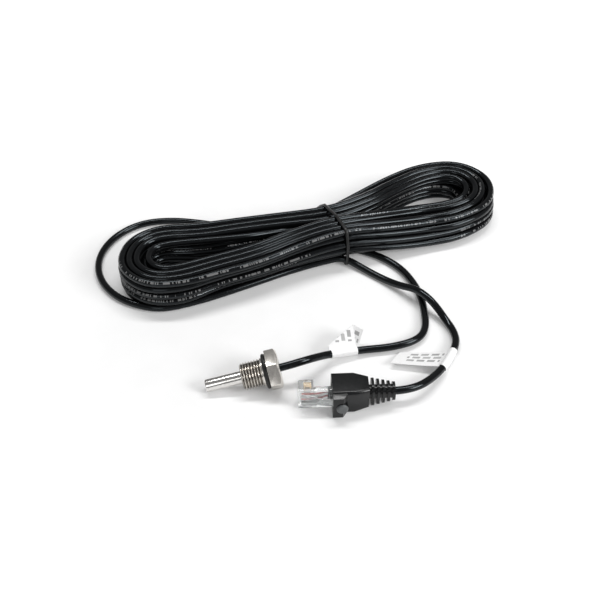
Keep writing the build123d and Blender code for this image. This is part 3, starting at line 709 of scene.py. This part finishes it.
def tube(name, points, radius, sides):
    """A round skin along a line of points, mapped by metres along it and turns round it."""
    rows, lengths, total = [], [], 0.0
    for i, point in enumerate(points):
        before, after = points[max(i - 1, 0)], points[min(i + 1, len(points) - 1)]
        tangent = (after - before).normalized()
        up = Vector((0.0, 0.0, 1.0))
        up = (up - tangent * up.dot(tangent)).normalized()
        side = tangent.cross(up)
        if i:
            total += (point - before).length
        lengths.append(total * MM)
        rows.append([point + (up * math.cos(a) + side * math.sin(a)) * radius for a in circle(sides)])
    mesh = grid_mesh(name, rows, close_columns=True)
    layer = mesh.uv_layers.new(name="along")
    for polygon in mesh.polygons:
        corners = [mesh.loops[i].vertex_index for i in polygon.loop_indices]
        columns = [corner % sides for corner in corners]
        at_seam = max(columns) - min(columns) > 1
        for loop, corner, column in zip(polygon.loop_indices, corners, columns):
            turn = sides if at_seam and column == 0 else column
            layer.data[loop].uv = (lengths[corner // sides], turn / sides)
    return mesh


def cap_ends(mesh, sides):
    """Close both ends of a tube."""
    work = bmesh.new()
    work.from_mesh(mesh)
    work.verts.ensure_lookup_table()
    work.faces.new(work.verts[:sides][::-1])
    work.faces.new(work.verts[-sides:])
    work.to_mesh(mesh)
    work.free()


CABLE_RESOLUTION, CABLE_SIDES = 6, 14
cable_points = spline_points("cable_line", CABLE_LINE, CABLE_RESOLUTION)
cable_mesh = tube("cable", cable_points, CABLE_DIAMETER / 2, CABLE_SIDES)
cap_ends(cable_mesh, CABLE_SIDES)
shade(cable_mesh, angle=60.0)
CABLE_NODES = ("cable_probe_lead", "cable_hank", "cable_loose_loop", "cable_plug_lead")
cable = place("cable", cable_mesh, jacket, "jacket_black", *CABLE_NODES)

# Tie: a narrow band drawn round all the strands at the hank's waist
TIE_WIDTH, TIE_THICKNESS, TIE_CLEARANCE = 1.5, 1.1, 0.05
# A line that crosses the waist further from its middle than this isn't in the hank
WAIST_REACH = 25.0
STRAND_STEPS = 28
# The band's section, as shares of its width and thickness
TIE_SECTION = (
    (-0.5, -0.3), (-0.36, -0.5), (0.36, -0.5), (0.5, -0.3),
    (0.5, 0.3), (0.36, 0.5), (-0.36, 0.5), (-0.5, 0.3),
)


def on_hank(spot):
    """A place as seen on the hank: along it, towards its back, and up."""
    c, s = math.cos(HANK_ANGLE), math.sin(HANK_ANGLE)
    offset = spot - HANK_CENTRE
    return offset.x * c + offset.y * s, offset.y * c - offset.x * s, spot.z


def waist_strands():
    """Where the strands cross the hank's waist, as (y, z) on the hank."""
    local = [on_hank(point) for point in cable_points]
    found = []
    for a, b in zip(local, local[1:]):
        if a[0] * b[0] <= 0 and abs(a[1]) < WAIST_REACH:
            t = a[0] / (a[0] - b[0]) if a[0] != b[0] else 0.0
            found.append((a[1] + (b[1] - a[1]) * t, a[2] + (b[2] - a[2]) * t))
    return found


def bends_in(a, b, c):
    """Whether the way from a by b to c goes straight on or turns clockwise."""
    return (b[0] - a[0]) * (c[1] - a[1]) <= (b[1] - a[1]) * (c[0] - a[0])


def hull(points):
    """Convex outline of flat points, counter-clockwise."""
    ordered = sorted(set(points))
    outline = []
    for row in (ordered, ordered[::-1]):
        chain = []
        for point in row:
            while len(chain) > 1 and bends_in(chain[-2], chain[-1], point):
                chain.pop()
            chain.append(point)
        outline += chain[:-1]
    return outline


def band_round_hank(name):
    """A closed band round the strands at the waist."""
    reach = CABLE_DIAMETER / 2 + TIE_CLEARANCE + TIE_THICKNESS / 2
    lowest = TIE_THICKNESS / 2 + TIE_CLEARANCE
    line = hull([
        (round(y + reach * math.cos(a), 4), round(max(z + reach * math.sin(a), lowest), 4))
        for y, z in waist_strands()
        for a in circle(STRAND_STEPS)
    ])
    rows = []
    for i, (y, z) in enumerate(line):
        a, b = line[i - 1], line[(i + 1) % len(line)]
        length = math.hypot(b[0] - a[0], b[1] - a[1])
        out_y, out_z = (b[1] - a[1]) / length * TIE_THICKNESS, (a[0] - b[0]) / length * TIE_THICKNESS
        rows.append([hank_place(w * TIE_WIDTH, y + out_y * h, z + out_z * h) for w, h in TIE_SECTION])
    return grid_mesh(name, rows, close_rows=True, close_columns=True)


tie_mesh = band_round_hank("hank_band")
shade(tie_mesh, angle=50.0)
tie = place("hank_band", tie_mesh, tie_black, "tie_black", "hank_tie")

# Labels: white tape wrapped round the cable, its two ends stuck together as a flag
LABEL_WIDTH = 14.0
WRAP_RADIUS, WRAP_SIDES, WRAP_THICKNESS = CABLE_DIAMETER / 2 + 0.2, 32, 0.12
FLAG_THICKNESS, FLAG_LOWEST = 0.2, 0.3
LEAD_POINTS, LEAD_RESOLUTION = 9, 48
# A wrap's map is moved off the field of bars by this much, so it stays bare
BARE_SHIFT = 1.0


def wrap_round(name, route, start):
    """The part of a label that goes round the cable, from a place on a lead's route."""
    points = spline_points(name + "_line", route[:LEAD_POINTS], LEAD_RESOLUTION)
    first = min(range(len(points)), key=lambda i: (points[i] - start).length)
    run, total = [points[first]], 0.0
    for a, b in zip(points[first:], points[first + 1:]):
        total += (b - a).length
        if total > LABEL_WIDTH:
            break
        run.append(b)
    mesh = tube(name, run, WRAP_RADIUS, WRAP_SIDES)
    for corner in mesh.uv_layers["along"].data:
        corner.uv.y += BARE_SHIFT
    return mesh


def flag_sheet(name, rows, length):
    """A flag from rows of points, mapped in metres along and across it."""
    mesh = grid_mesh(name, rows)
    layer = mesh.uv_layers.new(name="along")
    wide, high = len(rows[0]), len(rows)
    for polygon in mesh.polygons:
        for loop in polygon.loop_indices:
            row, column = divmod(mesh.loops[loop].vertex_index, wide)
            layer.data[loop].uv = (length * MM * row / (high - 1), LABEL_WIDTH * MM * column / (wide - 1))
    return mesh


def label_piece(name, node, wrap_mesh, flag_mesh):
    """One label from its wrap and its flag, given the thickness of its tape."""
    flag = bmesh.new()
    flag.from_mesh(flag_mesh)
    bmesh.ops.solidify(flag, geom=flag.faces[:], thickness=FLAG_THICKNESS * MM)
    flag.to_mesh(flag_mesh)
    flag.free()
    work = bmesh.new()
    work.from_mesh(wrap_mesh)
    bmesh.ops.recalc_face_normals(work, faces=work.faces)
    bmesh.ops.solidify(work, geom=work.faces[:], thickness=WRAP_THICKNESS * MM)
    work.from_mesh(flag_mesh)
    mesh = bpy.data.meshes.new(name)
    work.to_mesh(mesh)
    work.free()
    shade(mesh, angle=50.0)
    return place(name, mesh, label_white, "label_white", node)


# The label near the probe leans back, and its flag is creased over towards the back
CREASED_START = PROBE_ROUTE[4]
CREASED_RUN = (PROBE_ROUTE[5] - PROBE_ROUTE[4]).normalized()
LEAN = math.radians(40.0)
FACING = CREASED_RUN.cross(Vector((0.0, math.sin(LEAN), math.cos(LEAN)))).normalized()
UPWARD = FACING.cross(CREASED_RUN)
CREASE_LOW, CREASE_HIGH = Vector((-1.8, 2.9)), Vector((10.7, 10.4))
CREASE = (CREASE_HIGH - CREASE_LOW).normalized()
FLAG_SLANT, FLAG_ROOT, FLAG_LENGTH, FLAG_CUT = Vector((-0.06, 0.998)), 1.8, 20.4, 0.3
FOLD_RADIUS, FOLD_TURN = 0.45, math.radians(156.0)
WAVE_DEPTH, WAVE_WIDTH = 0.3, 5.0
CREASED_COLUMNS, CREASED_ROWS = 30, 60


def creased(across, along):
    """A place on the first label's flag, across it and along it from the cable."""
    offset = Vector((across, 0.0)) + FLAG_SLANT * along - CREASE_LOW
    on, beyond = offset.dot(CREASE), offset.y * CREASE.x - offset.x * CREASE.y
    behind = WAVE_DEPTH * math.sin(across / WAVE_WIDTH) * along / FLAG_LENGTH
    if beyond > 0:
        turn = min(beyond / FOLD_RADIUS, FOLD_TURN)
        rest = beyond - FOLD_RADIUS * turn
        behind += FOLD_RADIUS * (1 - math.cos(turn)) + rest * math.sin(turn)
        beyond = FOLD_RADIUS * math.sin(turn) + rest * math.cos(turn)
    u = CREASE_LOW.x + on * CREASE.x - beyond * CREASE.y
    v = CREASE_LOW.y + on * CREASE.y + beyond * CREASE.x
    spot = CREASED_START + CREASED_RUN * u + UPWARD * v - FACING * behind
    spot.z = max(spot.z, FLAG_LOWEST)
    return spot


def creased_flag():
    """The first label's flag, whose far edge is cut at a slant."""
    rows = []
    for i in range(CREASED_ROWS + 1):
        row = []
        for j in range(CREASED_COLUMNS + 1):
            share = j / CREASED_COLUMNS
            length = FLAG_LENGTH - FLAG_ROOT + FLAG_CUT * LABEL_WIDTH * (1 - share)
            row.append(creased(LABEL_WIDTH * share, FLAG_ROOT + length * i / CREASED_ROWS))
        rows.append(row)
    return flag_sheet("flag_near_probe", rows, FLAG_LENGTH)


probe_wrap = wrap_round("wrap_near_probe", PROBE_ROUTE, CREASED_START)
probe_label = label_piece("label_near_probe", "label_probe_end", probe_wrap, creased_flag())

# The label near the plug has a flag that lies back over the table in a slow wave
SWEPT_START = PLUG_ROUTE[5]
SWEPT_RUN = (PLUG_ROUTE[6] - PLUG_ROUTE[5]).normalized()
SWEEP, SWEEP_LENGTH, SWEEP_FALL, SWEEP_TAPER = Vector((-0.949, 0.317, 0.0)), 24.4, -0.17, 0.2
SINK_HEIGHT, SINK_LENGTH = 1.85, 9.6
RIPPLE_HEIGHT, RIPPLE_LENGTH = 0.12, 3.4
SWEPT_COLUMNS, SWEPT_ROWS = 20, 48


def swept(across, along):
    """A place on the second label's flag, across it and along it from the cable."""
    ripple = RIPPLE_HEIGHT * math.sin(along / RIPPLE_LENGTH) * across / LABEL_WIDTH
    height = SINK_HEIGHT * math.exp(-along / SINK_LENGTH) + SWEEP_FALL * across + ripple
    narrowed = across * (1 - SWEEP_TAPER * along / SWEEP_LENGTH)
    spot = SWEPT_START + SWEPT_RUN * narrowed + SWEEP * along + Vector((0.0, 0.0, height))
    spot.z = max(spot.z, FLAG_LOWEST)
    return spot


swept_rows = [
    [swept(LABEL_WIDTH * j / SWEPT_COLUMNS, SWEEP_LENGTH * i / SWEPT_ROWS) for j in range(SWEPT_COLUMNS + 1)]
    for i in range(SWEPT_ROWS + 1)
]
plug_wrap = wrap_round("wrap_near_plug", PLUG_ROUTE, SWEPT_START)
plug_flag = flag_sheet("flag_near_plug", swept_rows, SWEEP_LENGTH)
plug_label = label_piece("label_near_plug", "label_plug_end", plug_wrap, plug_flag)

# Probe: sheath, cut thread, hexagon and sealing ring
SHEATH_PROFILE = [
    (0.0, 0.05),
    (0.0, 2.0),
    (0.02, 2.62),
    (0.07, 2.8),
    (0.16, 2.91),
    (0.3, 2.98),
    (0.45, SHEATH_RADIUS),
    (9.0, SHEATH_RADIUS),
    (24.0, SHEATH_RADIUS),
]
SHEATH_SIDES = 72
sheath_mesh = turned("sheath", SHEATH_PROFILE, SHEATH_SIDES)
shade(sheath_mesh, angle=50.0)
place("sheath", sheath_mesh, steel, "sheath_steel", "probe_sheath")

THREAD_PITCH, THREAD_DEPTH = 1.337, 0.856
THREAD_SHARPNESS = 0.65
RUN_OUT_START, RUN_OUT_LENGTH = NECK_START - 1.3, 1.1
LEAD_IN_RADIUS, NECK_SLOPE = 5.58, 3.0
FACE_RADII = (SHEATH_RADIUS + 0.02, 4.3, 5.4)
THREAD_SIDES, THREAD_STEP = 96, 0.085
HEX_CUT = HEX_FACE - 0.1


def smooth_step(t):
    """An even rise from 0 to 1 with soft ends."""
    t = min(1.0, max(0.0, t))
    return t * t * (3 - 2 * t)


def thread_radius(along, angle):
    """Radius of the cut thread, with its lead-in chamfer and its run-out before the neck."""
    if along > NECK_START:
        return max(NECK_DIAMETER / 2, THREAD_MAJOR / 2 - NECK_SLOPE * (along - NECK_START))
    phase = (along / THREAD_PITCH - angle / (2 * math.pi)) % 1.0
    sharp = 1 - abs(2 * phase - 1)
    rounded = 0.5 - 0.5 * math.cos(2 * math.pi * phase)
    groove = THREAD_SHARPNESS * sharp + (1 - THREAD_SHARPNESS) * rounded
    fade = 1 - smooth_step((along - RUN_OUT_START) / RUN_OUT_LENGTH)
    radius = THREAD_MAJOR / 2 - THREAD_DEPTH * groove * fade
    return min(radius, LEAD_IN_RADIUS + (along - THREAD_START))


def root_depth(along, angle):
    """How deep in the thread a place is, from 0 on its crest to 1 at its root."""
    if along >= NECK_START:
        return 0.0
    return min(1.0, (THREAD_MAJOR / 2 - thread_radius(along, angle)) / THREAD_DEPTH)


def thread_piece():
    """The threaded part of the fitting and its neck, with its thread roots marked for painted shade."""
    count = int((HEX_CUT - THREAD_START) / THREAD_STEP) + 1
    stations = [THREAD_START + THREAD_STEP * i for i in range(count)]
    angles = circle(THREAD_SIDES)
    rows = [[probe_point(THREAD_START, radius, angle) for angle in angles] for radius in FACE_RADII]
    rows += [[probe_point(x, thread_radius(x, angle), angle) for angle in angles] for x in stations]
    mesh = grid_mesh("fitting_thread", rows, close_columns=True)
    shade(mesh, angle=70.0)
    # How deep each place lies in the thread, which sets the painted shade in the roots
    root_shade_depths = [0.0] * (len(FACE_RADII) * THREAD_SIDES)
    root_shade_depths += [root_depth(x, angle) for x in stations for angle in angles]
    mesh.attributes.new("root", "FLOAT", "POINT").data.foreach_set("value", root_shade_depths)
    return place("fitting_thread", mesh, thread_nickel_root_shade, "fitting_nickel", "threaded_fitting")


thread_piece()
hex_plane = ((TIP + AXIS * HEX_CUT) * MM, AXIS)
hex_mesh = softened(nodes["threaded_fitting"].data.copy(), radius=0.15, angle=20.0, beyond=hex_plane)
place("fitting_hexagon", hex_mesh, nickel, "fitting_nickel", "threaded_fitting")

RING_STEPS, RING_SIDES = 20, 80
ring_half = RING_SECTION / 2
ring_along = NECK_START + RING_CLEARANCE + ring_half
ring_radius = NECK_DIAMETER / 2 + RING_CLEARANCE + ring_half
ring_profile = [
    (ring_along + ring_half * math.cos(a), ring_radius + ring_half * math.sin(a)) for a in circle(RING_STEPS)
]
ring_mesh = turned("seal_ring", ring_profile, RING_SIDES, closed=True)
shade(ring_mesh, angle=80.0)
place("seal_ring", ring_mesh, rubber, "ring_rubber", "sealing_ring")

# Plug and boot: the CAD shapes with moulded edges
plug_mesh = softened(nodes["plug_body"].data.copy(), radius=0.12, angle=25.0)
plug_shell = place("plug_shell", plug_mesh, plug_clear, "plug_clear", "plug_body")
boot_mesh = softened(nodes["plug_boot"].data.copy(), radius=0.25, angle=25.0, segments=3)
boot = place("cable_boot", boot_mesh, boot_black, "boot_black", "plug_boot")
# The round button in front of the hood takes the lighter grey: a painted highlight
boot_mesh.materials.append(button_painted_highlight)
BUTTON_AT, BUTTON_RADIUS, BUTTON_FOOT = 19.3, 2.75, -9.4


def on_button(spot):
    """Whether a place on the boot is on the round button in front of its hood, which takes the painted
    highlight.
    """
    offset = spot / MM - plug_place(BUTTON_AT)
    near = math.hypot(offset.dot(PLUG_ALONG), offset.z) < BUTTON_RADIUS
    return near and offset.dot(PLUG_ACROSS) < BUTTON_FOOT


for polygon in boot_mesh.polygons:
    if all(on_button(boot_mesh.vertices[i].co) for i in polygon.vertices):
        polygon.material_index = 1

# CAD nodes that keep their own shape
contacts = [f"plug_contact_{i}" for i in range(1, 9)]
cores = {
    "plug_core_1": core_red,
    "plug_core_2": core_white,
    "plug_core_3": core_rose,
    "plug_core_4": core_black,
}
FINISHES = {
    "thermistor_bead": bead,
    "thermistor_lead_1": tinned,
    "thermistor_lead_2": tinned,
    "splice_sleeve_1": sleeve,
    "splice_sleeve_2": sleeve,
    "probe_core_1": core_red,
    "probe_core_2": core_white,
    "tip_filler": filler,
    "cable_seal": resin,
    **cores,
    **{name: gold for name in contacts},
}
for name, finish in FINISHES.items():
    data = nodes[name].data
    data.materials.clear()
    data.materials.append(finish)

on_cable = [plug_shell, boot, probe_label, plug_label, tie]
on_cable += [nodes[name] for name in (*contacts, *cores)]

# Floor, background and light
FLOOR_GREYS, FLOOR_ROUGHNESS, FLOOR_GLOSS = (0.80, 0.82), 0.9, 0.1
FLOOR_HALF = 20000.0
GLOW_MIDDLE = Vector((0.04, 0.05, 0.0))
# The floor's glow is weakest round the object, a painted shade there, and white far off
GLOW_NEAR, GLOW_FAR, GLOW_IN_PAINTED_SHADE, GLOW_MOST = 0.05, 0.46, 0.10, 1.0
WORLD_LIGHT = 0.20
WORLD_SEEN = {"Is Camera Ray": 0.80, "Is Transmission Ray": 0.80, "Is Glossy Ray": 0.06}


def floor_glow_with_painted_shade(tree):
    """What the camera, metal and glass see of the floor's own glow: weak at the object as painted shade round
    it, white far off.
    """
    centred = add(tree, "ShaderNodeMapping", Location=-GLOW_MIDDLE)
    tree.links.new(add(tree, "ShaderNodeTexCoord").outputs["Object"], centred.inputs["Vector"])
    away = add(tree, "ShaderNodeVectorMath", operation="LENGTH")
    tree.links.new(centred.outputs["Vector"], away.inputs[0])
    far = add(tree, "ShaderNodeMapRange", interpolation_type="SMOOTHSTEP")
    for key, value in (
        ("From Min", GLOW_NEAR),
        ("From Max", GLOW_FAR),
        ("To Min", GLOW_IN_PAINTED_SHADE),
        ("To Max", GLOW_MOST),
    ):
        far.inputs[key].default_value = value
    tree.links.new(away.outputs["Value"], far.inputs["Value"])
    rays = add(tree, "ShaderNodeLightPath").outputs
    seen = maths(tree, "MAXIMUM", rays["Is Camera Ray"], rays["Is Glossy Ray"])
    seen = maths(tree, "MAXIMUM", seen, rays["Is Transmission Ray"])
    return maths(tree, "MULTIPLY", seen, far.outputs["Result"])


def floor_material():
    """Pale matt paper that keeps the object's shadow, with painted shade round the object in its glow."""
    material, tree, shader = new_material("floor_pale")
    colour = ramp(tree, noise(tree, scale=60.0, detail=2.0), *greys(*FLOOR_GREYS))
    tree.links.new(colour, shader.inputs["Base Color"])
    shader.inputs["Roughness"].default_value = FLOOR_ROUGHNESS
    shader.inputs["Specular IOR Level"].default_value = FLOOR_GLOSS
    shader.inputs["Emission Color"].default_value = grey(1.0)
    tree.links.new(floor_glow_with_painted_shade(tree), shader.inputs["Emission Strength"])
    return material


def add_floor():
    """A wide flat floor, which isn't part of the object."""
    sides = (-FLOOR_HALF, FLOOR_HALF)
    mesh = grid_mesh("floor", [[Vector((x, y, 0.0)) for x in sides] for y in sides])
    mesh.materials.append(floor_material())
    floor = bpy.data.objects.new("floor", mesh)
    scene.collection.objects.link(floor)


def add_world():
    """A dim even light that looks white to the camera and through clear plastic."""
    world = bpy.data.worlds.new("studio")
    scene.world = world
    world.use_nodes = True
    tree = world.node_tree
    background = tree.nodes["Background"]
    background.inputs["Color"].default_value = grey(1.0)
    rays = add(tree, "ShaderNodeLightPath").outputs
    level = WORLD_LIGHT
    for kind, share in WORLD_SEEN.items():
        level = maths(tree, "MULTIPLY_ADD", rays[kind], share, level)
    tree.links.new(level, background.inputs["Strength"])


def softbox(name, spot, target, size, power):
    """A rectangular lamp turned to a target, in metres and watts."""
    lamp = bpy.data.lights.new(name, "AREA")
    lamp.shape = "RECTANGLE"
    lamp.size, lamp.size_y = size
    lamp.energy = power
    holder = bpy.data.objects.new(name, lamp)
    holder.location = spot
    holder.rotation_euler = (Vector(target) - Vector(spot)).to_track_quat("-Z", "Y").to_euler()
    scene.collection.objects.link(holder)


add_floor()
add_world()
softbox("key", spot=(0.10, 0.44, 1.04), target=(0.04, 0.06, 0.0), size=(1.00, 0.13), power=7.4)
softbox("top", spot=(0.55, -0.10, 0.85), target=(0.04, 0.05, 0.0), size=(0.30, 0.30), power=1.0)
softbox("side", spot=(0.80, -0.55, 0.60), target=(0.03, 0.03, 0.0), size=(0.50, 0.40), power=7.5)
softbox("front", spot=(-0.45, -0.90, 0.75), target=(0.04, 0.03, 0.0), size=(0.50, 0.50), power=1.6)
scene.view_settings.view_transform = "Standard"
